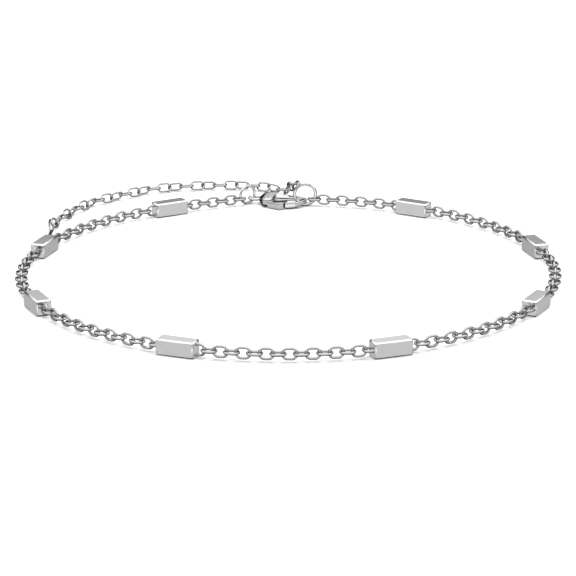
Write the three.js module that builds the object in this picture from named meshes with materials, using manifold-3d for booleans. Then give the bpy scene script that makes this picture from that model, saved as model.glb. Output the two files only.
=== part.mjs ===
// Chain bracelet: eight square bars joined by stretches of fine cable chain,
// a lobster clasp with a hinged lever, two jump rings and an extender chain.
// Millimetres, +Z up. The bracelet lies closed on a flat surface at z = 0.
import * as THREE from 'three';
import { mergeVertices } from 'three/addons/utils/BufferGeometryUtils.js';
import Module from 'manifold-3d';

const wasm = await Module();
wasm.setup();

// How finely round wire is drawn
const WIRE_SIDES = 5;
const LINK_STEPS = 10;
const RING_STEPS = 16;
const PIN_SIDES = 16;

// Clearances between separate pieces
const HOOK_GAP = 0.04;
const LINK_BITE = 0.02;
const PIN_GAP = 0.04;
const SLOT_GAP = 0.05;
const SLOT_ROOM = 0.15;
const LEVER_GAP = 0.12;

// Bars
const BAR_COUNT = 8;
const BAR_LENGTH = 4.1;
const BAR_SECTION = 1.7;
const BAR_CHAMFER = 0.17;
const BAR_LOOP_WIRE = 0.28;
const BAR_LOOP_WIDTH = 1.4;
const BAR_LOOP_REACH = 1.016;

// Cable links and how many of them lie in each kind of stretch
const LINK_WIRE = 0.29;
const LINK_LENGTH = 1.614;
const LINK_WIDTH = 1.36;
const STRETCH_LINKS = 14;
const RIGHT_END_LINKS = 9;
const LEFT_END_LINKS = 6;
const RIGHT_END_BEND = 0.85;
const LEFT_END_BEND = 0;

// Jump rings: the left one holds the clasp, the right one takes the claw and the extender
const LEFT_RING_DIAMETER = 2.45;
const LEFT_RING_WIRE = 0.28;
const LEFT_RING_SLACK = 0.16;
const RIGHT_RING_DIAMETER = 2.94;
const RIGHT_RING_WIRE = 0.36;
const RIGHT_RING_SLACK = 0.3;

// Lobster clasp, lying flat: its own x runs from the tail to the nose, its y away from the lever
const CLASP_TURN = THREE.MathUtils.degToRad(-10);
const CLASP_LENGTH = 5.75;
const CLASP_NECK = 0.1;
const CLASP_FAR_WIDTH = 1.3;
const CLASP_NEAR_WIDTH = 2.35;
const CLASP_HEIGHT = 1.4;
const CLASP_ARM_HEIGHT = 1.05;
const HUMP_END = 1.7;
const ARM_START = 2.8;
const CLASP_MIDDLE = 0.62;
const CLASP_NOSE_LOW = 0.61;
const CLASP_NOSE_HIGH = 1.0;
const NOSE_RISE_AHEAD = 0.4;
const NOSE_RISE_INSIDE = 0.5;
const TAIL_TAPER_UNDER = 0.5;
const TAIL_TAPER_OVER = 0.7;
const CLAW_NOSE_WALL = 0.65;
const CLAW_HOLE_START = 1.8;
const CLAW_HOLE_FAR = 0.35;
const CLAW_HOLE_NEAR = 1.3;
const CLAW_TIP = 3.7;
const CLAW_RING_SLACK = 0.4;
const CLAW_RING_ACROSS = -0.45;
const TRIM_SPARE = 0.5;
const TAIL_LENGTH = 1.75;
const TAIL_WIDTH = 1.5;
const TAIL_WIRE = 0.35;
const TAIL_SUNK = 0.25;
const TAIL_RING_SLACK = 0.12;

// Lever of the clasp and the pin it turns on
const PIN_DIAMETER = 0.4;
const PIN_ALONG = 1.05;
const PIN_ACROSS = -1.35;
const CHEEK_RADIUS = 0.7;
const LEVER_EYE_RADIUS = 0.5;
const LEVER_EYE_HEIGHT = 0.56;
const LEVER_LOW = 0.08;
const LEVER_HIGH = 0.84;
const THUMB_REACH = 2.9;
const THUMB_WIDTH = 0.55;
const THUMB_ALONG = 2.48;
const EYE_ARM_FAR = 0.36;
const EYE_ARM_NEAR = 0.24;

// How full the clasp's curves are, as shares of its widths and its length
const HOLE_FULL_START = 0.75;
const HOLE_FULL_END = 0.7;
const HOLE_FULL_TIP = 0.85;
const NOSE_FULL = 0.82;
const BACK_FULL = [[0.83, 0.6], [0.55, 0.8], [0.22, 1]];
const CHEEK_FROM = -Math.PI * 0.7;
const CHEEK_TO = Math.PI / 12;
const LEVER_BACK_FROM = -Math.PI * 0.4;
const LEVER_BACK_TO = -Math.PI * 0.06;

// Extender chain: its outer diameter, and its route from the right ring's centre,
// chosen point by point, over the clasp, down to the surface and round behind the bars
const EXTENDER_DIAMETER = 1.1;
const EXTENDER_SIDES = 8;
const EXTENDER_STEPS = 20;
const EXTENDER_ROUTE = [
  [-1.2, 0.66, 2.55],
  [-1.45, 1.75, 2.25],
  [-1.8, 2.95, 1.6],
  [-2.2, 4.1, 0.9],
  [-2.9, 5.25, 0.6],
  [-4.2, 6.15, 0.6],
  [-7.5, 7.3, 0.6],
  [-11.5, 7.3, 0.6],
  [-15.2, 6.7, 0.6],
  [-18.8, 5.4, 0.6],
  [-22.0, 2.8, 0.6],
  [-24.9, 0.0, 0.6],
  [-27.0, -3.7, 0.6],
  [-28.4, -7.8, 0.6],
  [-29.1, -10.6, 0.6],
];
const EXTENDER_RING_DIAMETER = 1.6;
const EXTENDER_RING_WIRE = 0.24;
const EXTENDER_TAG_LENGTH = 2.6;
const EXTENDER_TAG_WIDTH = 0.36;
const EXTENDER_TAG_LIFT = 0.02;

const silver = { color: 0xdcdde0, roughness: 0.12, metalness: 1.0 };

// Turns a closed geometry into a solid that can be joined and cut
function solidOf(geometry) {
  const bare = geometry.clone();
  bare.deleteAttribute('normal');
  bare.deleteAttribute('uv');
  const merged = mergeVertices(bare, 1e-5);
  return new wasm.Manifold(new wasm.Mesh({
    numProp: 3,
    vertProperties: new Float32Array(merged.attributes.position.array),
    triVerts: new Uint32Array(merged.index.array),
  }));
}

// Turns a solid back into a geometry with flat faces
function geometryOf(solid) {
  const mesh = solid.getMesh();
  const geometry = new THREE.BufferGeometry();
  geometry.setAttribute('position', new THREE.BufferAttribute(mesh.vertProperties, 3));
  geometry.setIndex(new THREE.BufferAttribute(mesh.triVerts, 1));
  geometry.computeVertexNormals();
  return geometry;
}

function joined(solids) {
  return solids.reduce((sum, solid) => sum.add(solid));
}

function placed(geometry, x, y, z, turn = 0) {
  return geometry.clone().rotateZ(turn).translate(x, y, z);
}

function piece(name, geometry) {
  const mesh = new THREE.Mesh(geometry, new THREE.MeshStandardMaterial(silver));
  mesh.name = name;
  return mesh;
}

// Prism of a plan outline between two heights
function plate(shape, low, high) {
  return new THREE.ExtrudeGeometry(shape, {
    depth: high - low,
    bevelEnabled: false,
    curveSegments: 5,
  }).translate(0, 0, low);
}

// A closed oval of round wire, flat in the XY plane, longest along X. The tube radius is
// negative, which turns the wire's section by half a turn: one ridge faces the oval's inside
function oval(length, width, wire, steps = LINK_STEPS) {
  const corner = Math.PI / steps;
  const middle = width / 2 - (wire / 2) * Math.cos(Math.PI / WIRE_SIDES);
  const ring = new THREE.TorusGeometry(middle, -wire / 2, WIRE_SIDES, steps);
  ring.rotateZ(corner);
  const stretch = length / 2 - (width / 2) * Math.cos(corner);
  const position = ring.attributes.position;
  for (let i = 0; i < position.count; i += 1) {
    const x = position.getX(i);
    const side = Math.abs(x) < wire / 100 ? 0 : Math.sign(x);
    position.setX(i, x + side * stretch);
  }
  return ring;
}

// How far the wire's inner ridge lies inside the outer end of such an oval
function endDepth(wire, steps = LINK_STEPS) {
  return (wire / 2) * (1 + Math.cos(Math.PI / WIRE_SIDES)) * Math.cos(Math.PI / steps);
}

// A round ring standing upright in the XZ plane
function standingRing(diameter, wire) {
  return new THREE.TorusGeometry((diameter - wire) / 2, wire / 2, WIRE_SIDES, RING_STEPS)
    .rotateX(Math.PI / 2);
}

// Half the distance between a standing ring's two sides at a given height
function sideReach(diameter, wire, height) {
  const middle = (diameter - wire) / 2;
  const above = diameter / 2 - height;
  return Math.sqrt(middle * middle - above * above);
}

// Room that a standing ring's slanted wire takes in a flat link or loop that hooks it
function slantedHalf(diameter, wire, height, hookWire) {
  const middle = (diameter - wire) / 2;
  const slant = Math.asin((diameter / 2 - height) / middle);
  return (wire / 2) / Math.cos(slant) + (hookWire / 2) * Math.tan(slant);
}

const chainHeight = BAR_SECTION / 2;
const linkInner = LINK_LENGTH - 2 * endDepth(LINK_WIRE);
const linkPitch = linkInner + LINK_BITE;
const barReach = BAR_LENGTH / 2 + BAR_LOOP_REACH - endDepth(BAR_LOOP_WIRE);
const clawHoleEnd = CLASP_LENGTH - CLAW_NOSE_WALL;

// Sizes of the two rings where the chain and the clasp hook them
const leftReach = sideReach(LEFT_RING_DIAMETER, LEFT_RING_WIRE, chainHeight);
const leftHalf = slantedHalf(LEFT_RING_DIAMETER, LEFT_RING_WIRE, chainHeight, LINK_WIRE);
const tailHalf = slantedHalf(LEFT_RING_DIAMETER, LEFT_RING_WIRE, CLASP_MIDDLE, TAIL_WIRE);
const tailReach = sideReach(LEFT_RING_DIAMETER, LEFT_RING_WIRE, CLASP_MIDDLE);
const rightReach = sideReach(RIGHT_RING_DIAMETER, RIGHT_RING_WIRE, chainHeight);
const rightHalf = slantedHalf(RIGHT_RING_DIAMETER, RIGHT_RING_WIRE, chainHeight, LINK_WIRE);

// Walks along an end stretch from the loop of its bar and gives each link's place
function walkLinks(start, heading, count, turn) {
  const places = [];
  const at = start.clone();
  let direction = heading;
  let step = linkInner / 2 - HOOK_GAP;
  for (let i = 0; i < count; i += 1) {
    direction += turn / 2;
    at.x += step * Math.cos(direction);
    at.y += step * Math.sin(direction);
    places.push({ x: at.x, y: at.y, turn: direction });
    direction += turn / 2;
    step = linkPitch;
  }
  const along = new THREE.Vector2(Math.cos(direction), Math.sin(direction));
  const end = at.clone().addScaledVector(along, linkInner / 2);
  return { places, end, along };
}

// Lays the whole loop on a circle of the given radius
function layOut(radius) {
  const chord = (length) => 2 * Math.asin(length / (2 * radius));
  const barAngle = chord(2 * barReach);
  const linkAngle = chord(linkPitch);
  const spacing = barAngle + (STRETCH_LINKS - 1) * linkAngle + chord(linkInner - 2 * HOOK_GAP);
  const onCircle = (angle) => (
    new THREE.Vector2(Math.sin(angle), -Math.cos(angle)).multiplyScalar(radius)
  );
  const lastBar = ((BAR_COUNT - 1) / 2) * spacing;
  const endAngle = lastBar + barAngle / 2;

  const rightTurn = linkAngle * RIGHT_END_BEND;
  const leftTurn = -linkAngle * LEFT_END_BEND;
  const right = walkLinks(onCircle(endAngle), endAngle, RIGHT_END_LINKS, rightTurn);
  const left = walkLinks(onCircle(-endAngle), -endAngle + Math.PI, LEFT_END_LINKS, leftTurn);

  // Right ring, facing the front, its right side in the last link
  const rightSide = right.end.clone().addScaledVector(right.along, -rightHalf - RIGHT_RING_SLACK);
  const rightRing = rightSide.clone().add(new THREE.Vector2(-rightReach, 0));

  // Clasp, its claw round the right ring's left side
  const clawSide = rightRing.clone().add(new THREE.Vector2(-rightReach, 0));
  const inClaw = new THREE.Vector2(clawHoleEnd - rightHalf - CLAW_RING_SLACK, CLAW_RING_ACROSS);
  const clasp = clawSide.clone().sub(inClaw.rotateAround(new THREE.Vector2(), CLASP_TURN));

  // Left ring, from the clasp's tail to the last link of the left stretch
  const inTail = new THREE.Vector2(tailHoleEnd() + tailHalf + TAIL_RING_SLACK, 0);
  const tailSide = clasp.clone().add(inTail.rotateAround(new THREE.Vector2(), CLASP_TURN));
  const leftSide = left.end.clone().addScaledVector(left.along, -leftHalf - LEFT_RING_SLACK);
  const across = tailSide.clone().sub(leftSide);
  const leftRing = leftSide.clone().addScaledVector(across.clone().normalize(), leftReach);
  const spare = Math.sign(across.x) * across.length() - leftReach - tailReach;
  const barCircle = Math.cos(barAngle / 2);
  return {
    spacing, barCircle, linkAngle, onCircle, right, left, rightRing, clasp, leftRing, across, spare,
  };
}

// Where the tail's wire ends its hole on the left, in the clasp's own x
function tailHoleEnd() {
  return TAIL_SUNK - TAIL_LENGTH + endDepth(TAIL_WIRE);
}

// The loop's radius is the one at which the left ring just spans its two hooks
function closeLoop() {
  const length = BAR_COUNT * 2 * barReach + (BAR_COUNT - 1) * STRETCH_LINKS * linkPitch;
  let low = length / (2 * Math.PI);
  let high = 2 * low;
  for (let i = 0; i < 60; i += 1) {
    const middle = (low + high) / 2;
    if (layOut(middle).spare < 0) {
      low = middle;
    } else {
      high = middle;
    }
  }
  return (low + high) / 2;
}

const loopRadius = closeLoop();
const loop = layOut(loopRadius);

// A bar with an upright loop soldered to its leading end and a flat one to the other
function barGeometry() {
  const half = BAR_SECTION / 2;
  const flat = half - BAR_CHAMFER;
  const section = new THREE.Shape([
    new THREE.Vector2(-flat, -half), new THREE.Vector2(flat, -half),
    new THREE.Vector2(half, -flat), new THREE.Vector2(half, flat),
    new THREE.Vector2(flat, half), new THREE.Vector2(-flat, half),
    new THREE.Vector2(-half, flat), new THREE.Vector2(-half, -flat),
  ]);
  const bar = new THREE.ExtrudeGeometry(section, { depth: BAR_LENGTH, bevelEnabled: false });
  bar.translate(0, 0, -BAR_LENGTH / 2).rotateY(Math.PI / 2);
  const wireLoop = oval(2 * BAR_LOOP_REACH, BAR_LOOP_WIDTH, BAR_LOOP_WIRE);
  const upright = wireLoop.clone().rotateX(Math.PI / 2).translate(BAR_LENGTH / 2, 0, 0);
  const level = wireLoop.clone().translate(-BAR_LENGTH / 2, 0, 0);
  return geometryOf(joined([solidOf(bar), solidOf(upright), solidOf(level)]));
}

const linkFlat = oval(LINK_LENGTH, LINK_WIDTH, LINK_WIRE);
const linkUpright = linkFlat.clone().rotateX(Math.PI / 2);

// One body of links, each lying across its neighbours; the first named way decides the rest
function chainGeometry(places, firstIsFlat) {
  const links = places.map((place, i) => {
    const isFlat = (i % 2 === 0) === firstIsFlat;
    return solidOf(placed(isFlat ? linkFlat : linkUpright, place.x, place.y, chainHeight, place.turn));
  });
  return geometryOf(joined(links));
}

function stretchPlaces(middle) {
  const places = [];
  for (let i = 0; i < STRETCH_LINKS; i += 1) {
    const angle = middle + (i - (STRETCH_LINKS - 1) / 2) * loop.linkAngle;
    const at = loop.onCircle(angle);
    places.push({ x: at.x, y: at.y, turn: angle });
  }
  return places;
}

// Distance of the claw's tip from the pin, and where a circle of some radius about the pin
// crosses a line along the clasp
function tipRadius() {
  return Math.hypot(CLAW_TIP - PIN_ALONG, CLAW_HOLE_NEAR + PIN_ACROSS);
}

function alongAt(radius, across) {
  return PIN_ALONG + Math.sqrt(radius * radius - (across - PIN_ACROSS) ** 2);
}

// Plan of the clasp's body: cheek round the pin, round the claw's hole to the tip, back outside
function bodyShape() {
  const shape = new THREE.Shape();
  shape.moveTo(0, TAIL_WIDTH / 2);
  shape.lineTo(0, -TAIL_WIDTH / 2 + CLASP_NECK);
  shape.absarc(PIN_ALONG, PIN_ACROSS, CHEEK_RADIUS, CHEEK_FROM, CHEEK_TO, false);
  const middle = (CLAW_HOLE_START + clawHoleEnd) / 2;
  shape.splineThru([
    new THREE.Vector2(CLAW_HOLE_START, 0),
    new THREE.Vector2((CLAW_HOLE_START + middle) / 2, CLAW_HOLE_FAR * HOLE_FULL_START),
    new THREE.Vector2(middle, CLAW_HOLE_FAR),
    new THREE.Vector2((clawHoleEnd + middle) / 2, CLAW_HOLE_FAR * HOLE_FULL_END),
    new THREE.Vector2(clawHoleEnd, 0),
    new THREE.Vector2((clawHoleEnd + CLAW_TIP) / 2, -CLAW_HOLE_NEAR * HOLE_FULL_TIP),
    new THREE.Vector2(CLAW_TIP, -CLAW_HOLE_NEAR),
  ]);
  shape.lineTo(alongAt(tipRadius(), -CLASP_NEAR_WIDTH), -CLASP_NEAR_WIDTH);
  shape.splineThru([
    new THREE.Vector2((CLASP_LENGTH + CLAW_TIP) / 2, -CLASP_NEAR_WIDTH * NOSE_FULL),
    new THREE.Vector2(CLASP_LENGTH, 0),
    ...BACK_FULL.map(([along, across]) => (
      new THREE.Vector2(CLASP_LENGTH * along, CLASP_FAR_WIDTH * across)
    )),
    new THREE.Vector2(0, TAIL_WIDTH / 2),
  ]);
  return shape;
}

// Side profile that the clasp's body is trimmed to: low and thick, rising to a thin nose
function profileShape() {
  return new THREE.Shape([
    new THREE.Vector2(-TRIM_SPARE, CLASP_MIDDLE - TAIL_WIRE / 2),
    new THREE.Vector2(TAIL_TAPER_UNDER, 0),
    new THREE.Vector2(CLAW_TIP - NOSE_RISE_AHEAD, 0),
    new THREE.Vector2(clawHoleEnd - NOSE_RISE_INSIDE, CLASP_NOSE_LOW),
    new THREE.Vector2(CLASP_LENGTH + TRIM_SPARE, CLASP_NOSE_LOW),
    new THREE.Vector2(CLASP_LENGTH + TRIM_SPARE, CLASP_NOSE_HIGH),
    new THREE.Vector2(CLAW_TIP, CLASP_ARM_HEIGHT),
    new THREE.Vector2(ARM_START, CLASP_ARM_HEIGHT),
    new THREE.Vector2(HUMP_END, CLASP_HEIGHT),
    new THREE.Vector2(TAIL_TAPER_OVER, CLASP_HEIGHT),
    new THREE.Vector2(-TRIM_SPARE, CLASP_MIDDLE + TAIL_WIRE / 2),
  ]);
}

function pinCylinder(radius, low, high) {
  return new THREE.CylinderGeometry(radius, radius, high - low, PIN_SIDES)
    .rotateX(Math.PI / 2)
    .translate(PIN_ALONG, PIN_ACROSS, (low + high) / 2);
}

// Bore for the pin, right through the clasp
function pinBore() {
  return solidOf(pinCylinder(PIN_DIAMETER / 2 + PIN_GAP, -TRIM_SPARE, CLASP_HEIGHT + TRIM_SPARE));
}

// Body of the clasp with its tail loop, the lever's slot and the pin's holes
function claspBody() {
  const wide = 2 * CLASP_LENGTH;
  const profile = new THREE.ExtrudeGeometry(profileShape(), { depth: wide, bevelEnabled: false })
    .rotateX(Math.PI / 2)
    .translate(0, wide / 2, 0);
  const tail = oval(TAIL_LENGTH, TAIL_WIDTH, TAIL_WIRE, RING_STEPS)
    .translate(TAIL_SUNK - TAIL_LENGTH / 2, 0, CLASP_MIDDLE);
  const slotHalf = LEVER_EYE_HEIGHT / 2 + SLOT_GAP;
  const slot = new THREE.Shape();
  slot.absarc(PIN_ALONG, PIN_ACROSS, CHEEK_RADIUS + SLOT_ROOM, 0, Math.PI * 2, false);
  return geometryOf(
    solidOf(plate(bodyShape(), 0, CLASP_HEIGHT))
      .intersect(solidOf(profile))
      .add(solidOf(tail))
      .subtract(solidOf(plate(slot, CLASP_MIDDLE - slotHalf, CLASP_MIDDLE + slotHalf)))
      .subtract(pinBore()),
  );
}

// Plan of the lever: thumb tab on the near side, arm reaching to the claw's tip
function leverShape() {
  const shape = new THREE.Shape();
  const sweep = tipRadius() - LEVER_GAP;
  const turned = CHEEK_RADIUS + LEVER_GAP;
  shape.absarc(PIN_ALONG, PIN_ACROSS, turned, LEVER_BACK_FROM, LEVER_BACK_TO, false);
  shape.lineTo(alongAt(sweep, -CLAW_HOLE_NEAR), -CLAW_HOLE_NEAR);
  shape.lineTo(alongAt(sweep, -CLASP_NEAR_WIDTH), -CLASP_NEAR_WIDTH);
  shape.lineTo(THUMB_ALONG + THUMB_WIDTH, -THUMB_REACH);
  shape.lineTo(THUMB_ALONG, -THUMB_REACH);
  return shape;
}

// Plan of the lever's eye, which turns on the pin between the cheeks
function eyeShape() {
  const shape = new THREE.Shape();
  shape.moveTo(PIN_ALONG, PIN_ACROSS + LEVER_EYE_RADIUS);
  shape.lineTo(PIN_ALONG + CHEEK_RADIUS + EYE_ARM_FAR, PIN_ACROSS - CHEEK_RADIUS / 2);
  shape.lineTo(PIN_ALONG + CHEEK_RADIUS, PIN_ACROSS - CHEEK_RADIUS - EYE_ARM_NEAR);
  shape.lineTo(PIN_ALONG, PIN_ACROSS - LEVER_EYE_RADIUS);
  shape.absarc(PIN_ALONG, PIN_ACROSS, LEVER_EYE_RADIUS, -Math.PI / 2, Math.PI / 2, true);
  return shape;
}

function claspLever() {
  const eyeLow = CLASP_MIDDLE - LEVER_EYE_HEIGHT / 2;
  return geometryOf(
    solidOf(plate(leverShape(), LEVER_LOW, LEVER_HIGH))
      .add(solidOf(plate(eyeShape(), eyeLow, eyeLow + LEVER_EYE_HEIGHT)))
      .subtract(pinBore()),
  );
}

// Extender chain as the outer form of its links
function extenderGeometry() {
  const route = new THREE.CatmullRomCurve3(EXTENDER_ROUTE.map((point) => new THREE.Vector3(...point)));
  const section = new THREE.Shape();
  for (let i = 0; i < EXTENDER_SIDES; i += 1) {
    const angle = (i / EXTENDER_SIDES) * Math.PI * 2;
    const x = (EXTENDER_DIAMETER / 2) * Math.cos(angle);
    const y = (EXTENDER_DIAMETER / 2) * Math.sin(angle);
    if (i === 0) {
      section.moveTo(x, y);
    } else {
      section.lineTo(x, y);
    }
  }
  return new THREE.ExtrudeGeometry(section, { steps: EXTENDER_STEPS, extrudePath: route });
}

// Small ring and tag at the extender's free end
function extenderEnd() {
  const ring = new THREE.TorusGeometry(
    (EXTENDER_RING_DIAMETER - EXTENDER_RING_WIRE) / 2, EXTENDER_RING_WIRE / 2, WIRE_SIDES, LINK_STEPS,
  );
  ring.rotateY(Math.PI / 2).translate(0, 0, EXTENDER_RING_DIAMETER / 2);
  const tag = new THREE.BoxGeometry(EXTENDER_TAG_WIDTH, EXTENDER_TAG_LENGTH, EXTENDER_RING_WIRE);
  tag.translate(0, -EXTENDER_TAG_LENGTH / 2, EXTENDER_RING_WIRE / 2 + EXTENDER_TAG_LIFT);
  return geometryOf(joined([solidOf(ring), solidOf(tag)]));
}

const bracelet = new THREE.Group();

const barShared = barGeometry();
for (let i = 0; i < BAR_COUNT; i += 1) {
  const angle = (i - (BAR_COUNT - 1) / 2) * loop.spacing;
  const at = loop.onCircle(angle).multiplyScalar(loop.barCircle);
  const bar = piece(`bar_${i + 1}`, barShared);
  bar.position.set(at.x, at.y, chainHeight);
  bar.rotation.z = angle;
  bracelet.add(bar);
}

for (let i = 0; i < BAR_COUNT - 1; i += 1) {
  const middle = (i + 1 - (BAR_COUNT - 1) / 2 - 0.5) * loop.spacing;
  bracelet.add(piece(`chain_${i + 1}`, chainGeometry(stretchPlaces(middle), true)));
}
bracelet.add(piece('chain_right_end', chainGeometry(loop.right.places, true)));
bracelet.add(piece('chain_left_end', chainGeometry(loop.left.places, false)));

const rightRing = piece('extender_ring', standingRing(RIGHT_RING_DIAMETER, RIGHT_RING_WIRE));
rightRing.position.set(loop.rightRing.x, loop.rightRing.y, RIGHT_RING_DIAMETER / 2);
bracelet.add(rightRing);

const leftRing = piece('clasp_ring', standingRing(LEFT_RING_DIAMETER, LEFT_RING_WIRE));
leftRing.position.set(loop.leftRing.x, loop.leftRing.y, LEFT_RING_DIAMETER / 2);
leftRing.rotation.z = loop.across.angle();
bracelet.add(leftRing);

const clasp = new THREE.Group();
clasp.position.set(loop.clasp.x, loop.clasp.y, 0);
clasp.rotation.z = CLASP_TURN;
clasp.add(piece('clasp_body', claspBody()));
clasp.add(piece('clasp_lever', claspLever()));
clasp.add(piece('clasp_pin', pinCylinder(PIN_DIAMETER / 2, 0, CLASP_HEIGHT)));
bracelet.add(clasp);

const extender = new THREE.Group();
extender.position.set(loop.rightRing.x, loop.rightRing.y, 0);
extender.add(piece('extender_chain', extenderGeometry()));
const endPiece = piece('extender_end', extenderEnd());
const routeEnd = EXTENDER_ROUTE[EXTENDER_ROUTE.length - 1];
endPiece.position.set(routeEnd[0], routeEnd[1] - EXTENDER_RING_DIAMETER / 2, 0);
extender.add(endPiece);
bracelet.add(extender);

// The origin is the middle of the whole piece, on the surface it lies on
bracelet.updateMatrixWorld(true);
const extent = new THREE.Box3().setFromObject(bracelet, true);
const middle = extent.getCenter(new THREE.Vector3());
const assembly = new THREE.Group();
bracelet.position.set(-middle.x, -middle.y, -extent.min.z);
assembly.add(bracelet);
assembly.updateMatrixWorld(true);

export default assembly;
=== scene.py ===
"""Chain bracelet: square bars on fine cable chain, with a lobster clasp and an extender chain."""

import math

import bmesh
import bpy
from mathutils import Matrix, Vector


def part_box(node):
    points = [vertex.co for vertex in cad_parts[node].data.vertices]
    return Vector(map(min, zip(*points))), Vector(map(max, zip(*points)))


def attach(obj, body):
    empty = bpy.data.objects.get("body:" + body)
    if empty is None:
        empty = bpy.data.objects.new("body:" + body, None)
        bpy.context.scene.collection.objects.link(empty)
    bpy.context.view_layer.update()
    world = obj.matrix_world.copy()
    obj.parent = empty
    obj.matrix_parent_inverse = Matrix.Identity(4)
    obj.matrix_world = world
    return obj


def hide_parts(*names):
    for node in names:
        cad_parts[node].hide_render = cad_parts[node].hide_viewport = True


bl_info = {
    "name": "Chain Bracelet",
    "version": (1, 0, 0),
    "blender": (4, 5, 0),
    "location": "3D View > Sidebar > Bracelet",
    "description": "Makes the bars, chains, rings, clasp and extender of a bracelet, and its stage",
    "category": "Add Mesh",
}

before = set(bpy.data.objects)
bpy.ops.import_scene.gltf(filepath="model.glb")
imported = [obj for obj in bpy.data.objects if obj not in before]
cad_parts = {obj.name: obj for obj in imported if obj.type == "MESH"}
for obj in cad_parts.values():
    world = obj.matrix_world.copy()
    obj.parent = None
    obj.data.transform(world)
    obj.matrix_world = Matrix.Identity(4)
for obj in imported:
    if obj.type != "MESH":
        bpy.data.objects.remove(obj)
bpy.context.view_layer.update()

MM = 0.001
FULL_TURN = 2 * math.pi
BODY = "bracelet"
LEVER_BODY = "lever"

# Faces larger than this, in square metres, are shaded flat
FLAT_OVER = 0.4e-6

# How brushed each finish is, a value that also sets its painted shade: a lower one keeps less of
# the metal's tint, so it is painted darker, and one from FULL_TINT_FROM up keeps all of it
FINISHES_AND_PAINTED_SHADES = {
    "polished silver": 0.0,
    "bar silver": 0.3,
    "clasp silver": 0.2,
    "ring silver": 0.25,
}
FULL_TINT_FROM = 0.3

# Metal's surface: scales of its haze and its fine marks, and depth of the marks in metres
HAZE_SCALE = 900.0
MARKS_SCALE = 4200.0
MARKS_DEPTH = 0.00002


class BraceletLayout(bpy.types.PropertyGroup):
    """Where the loop lies and how its pieces are spaced"""

    centre_y: bpy.props.FloatProperty(
        name="Loop centre", description="Loop's centre along Y, in mm", default=-3.610725)
    contact_radius: bpy.props.FloatProperty(
        name="Contact radius", description="Circle on which links touch, in mm", default=28.705267)
    bar_radius: bpy.props.FloatProperty(
        name="Bar radius", description="Circle of the bars' centres, in mm", default=28.565906)
    bar_spacing: bpy.props.FloatProperty(
        name="Bar spacing", description="Angle from bar to bar", default=math.radians(42.816859),
        subtype="ANGLE", unit="ROTATION")


class BarSizes(bpy.types.PropertyGroup):
    """Sizes of the square bars and the loops soldered to them, in mm"""

    count: bpy.props.IntProperty(name="Bars", description="Number of bars", default=8, min=2)
    length: bpy.props.FloatProperty(name="Length", description="Length of a bar", default=4.1)
    section: bpy.props.FloatProperty(name="Section", description="Side of its section", default=1.7)
    edge: bpy.props.FloatProperty(name="Edge", description="Width of its eased edges", default=0.17)
    loop_wire: bpy.props.FloatProperty(
        name="Loop wire", description="Wire of its loops", default=0.29)
    loop_width: bpy.props.FloatProperty(
        name="Loop width", description="Width of its loops", default=1.4)
    loop_reach: bpy.props.FloatProperty(
        name="Loop reach", description="How far a loop stands out of its end", default=1.016)


class LinkSizes(bpy.types.PropertyGroup):
    """Sizes of the cable links, in mm"""

    wire: bpy.props.FloatProperty(name="Wire", description="Wire diameter", default=0.3)
    width: bpy.props.FloatProperty(name="Width", description="Width over the wire", default=1.348)
    pitch: bpy.props.FloatProperty(
        name="Pitch", description="Distance from link to link", default=1.135062)
    start: bpy.props.FloatProperty(
        name="Start", description="From a bar's contact to the first link's centre",
        default=0.517531)
    per_stretch: bpy.props.IntProperty(
        name="Links", description="Links between two bars", default=14)
    right_end: bpy.props.IntProperty(
        name="Right end", description="Links of the right end", default=9)
    left_end: bpy.props.IntProperty(name="Left end", description="Links of the left end", default=6)
    right_bend: bpy.props.FloatProperty(
        name="Right bend", description="Share of the loop's turn that the right end takes",
        default=0.85)


class RingSizes(bpy.types.PropertyGroup):
    """Sizes of the two jump rings, in mm"""

    clasp_diameter: bpy.props.FloatProperty(
        name="Clasp ring", description="Outer diameter of the clasp's ring", default=2.45)
    clasp_wire: bpy.props.FloatProperty(
        name="Clasp ring wire", description="Wire of the clasp's ring", default=0.35)
    clasp_turn: bpy.props.FloatProperty(
        name="Clasp ring turn", description="Turn of its plane from facing the front",
        default=0.692376, subtype="ANGLE", unit="ROTATION")
    extender_diameter: bpy.props.FloatProperty(
        name="Extender ring", description="Outer diameter of the extender's ring", default=2.94)
    extender_wire: bpy.props.FloatProperty(
        name="Extender ring wire", description="Wire of the extender's ring", default=0.44)


class SilverFinish(bpy.types.PropertyGroup):
    """Colour and polish of the white metal, and the painted shade of its darker copies"""

    tint: bpy.props.FloatVectorProperty(
        name="Tint", description="Colour of the polished metal", subtype="COLOR",
        default=(0.84, 0.843, 0.85), min=0.0, max=1.0)
    roughness: bpy.props.FloatProperty(
        name="Roughness", description="Polish of the metal", default=0.11, min=0.0, max=1.0)
    # Painted shade at the rims: a low edge tone darkens what the metal shows at grazing angles
    edge_tone: bpy.props.FloatProperty(
        name="Edge tone", description="Brightness seen at grazing angles",
        default=0.75, min=0.0, max=1.0)
    wire_edge_tone: bpy.props.FloatProperty(
        name="Wire edge tone", description="The same on fine wire", default=0.1, min=0.0, max=1.0)
    # Painted shade: fine wire keeps only this share of the tint, so it is painted darker than the
    # bars
    wire_painted_shade: bpy.props.FloatProperty(
        name="Wire shade", description="Share of the tint that fine wire has",
        default=0.66, min=0.0, max=1.0)


# Materials

def map_range(nodes, low, high):
    """Node that spreads a factor over a range"""
    spread = nodes.new("ShaderNodeMapRange")
    spread.inputs["To Min"].default_value = low
    spread.inputs["To Max"].default_value = high
    return spread


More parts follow.
